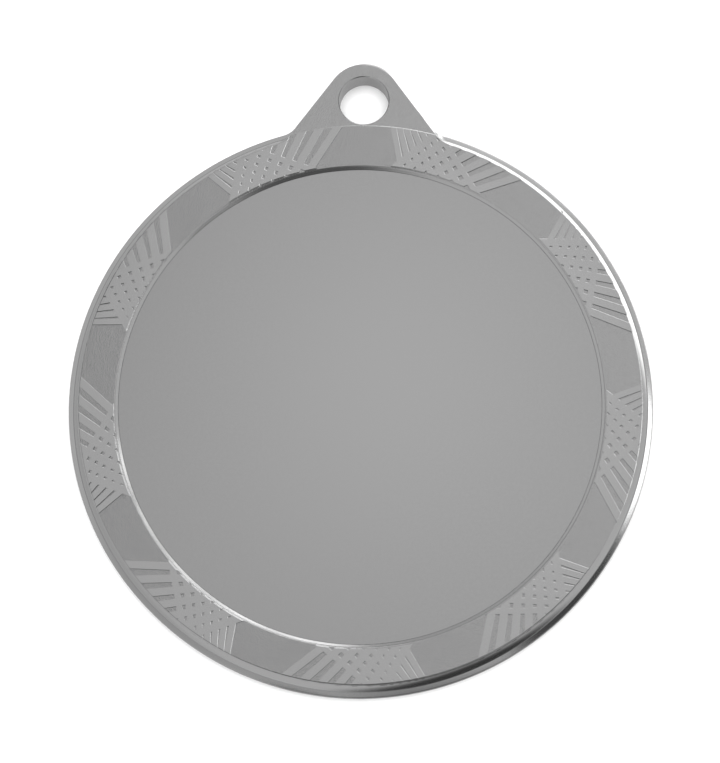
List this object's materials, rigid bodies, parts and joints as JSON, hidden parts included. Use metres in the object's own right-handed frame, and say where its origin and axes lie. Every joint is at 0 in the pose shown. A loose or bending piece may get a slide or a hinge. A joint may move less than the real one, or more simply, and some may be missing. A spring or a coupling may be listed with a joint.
{
  "type": "award medal",
  "caption": "Round cast award medal with a flat band, a plain recessed centre disc and a drilled tab for hanging it.",
  "frame": {"origin": "centre of the disc, on the flat back face", "axes": "+Z out of the medal's front face, +Y from the disc's centre towards the hanging tab, +X to the right when the front is seen with the tab at the top"},
  "size_m": [0.06, 0.0667, 0.003],
  "materials": {
    "cast_metal": "satin silver plate on a cast metal, with a fine grain",
    "centre_metal": "smooth satin silver",
    "adhesive": "double-sided adhesive film, hidden"
  },
  "bodies": {
    "root": {"cast_body": "cast_metal", "centre_disc": "centre_metal", "adhesive_pad": "adhesive"}
  },
  "joints": []
}
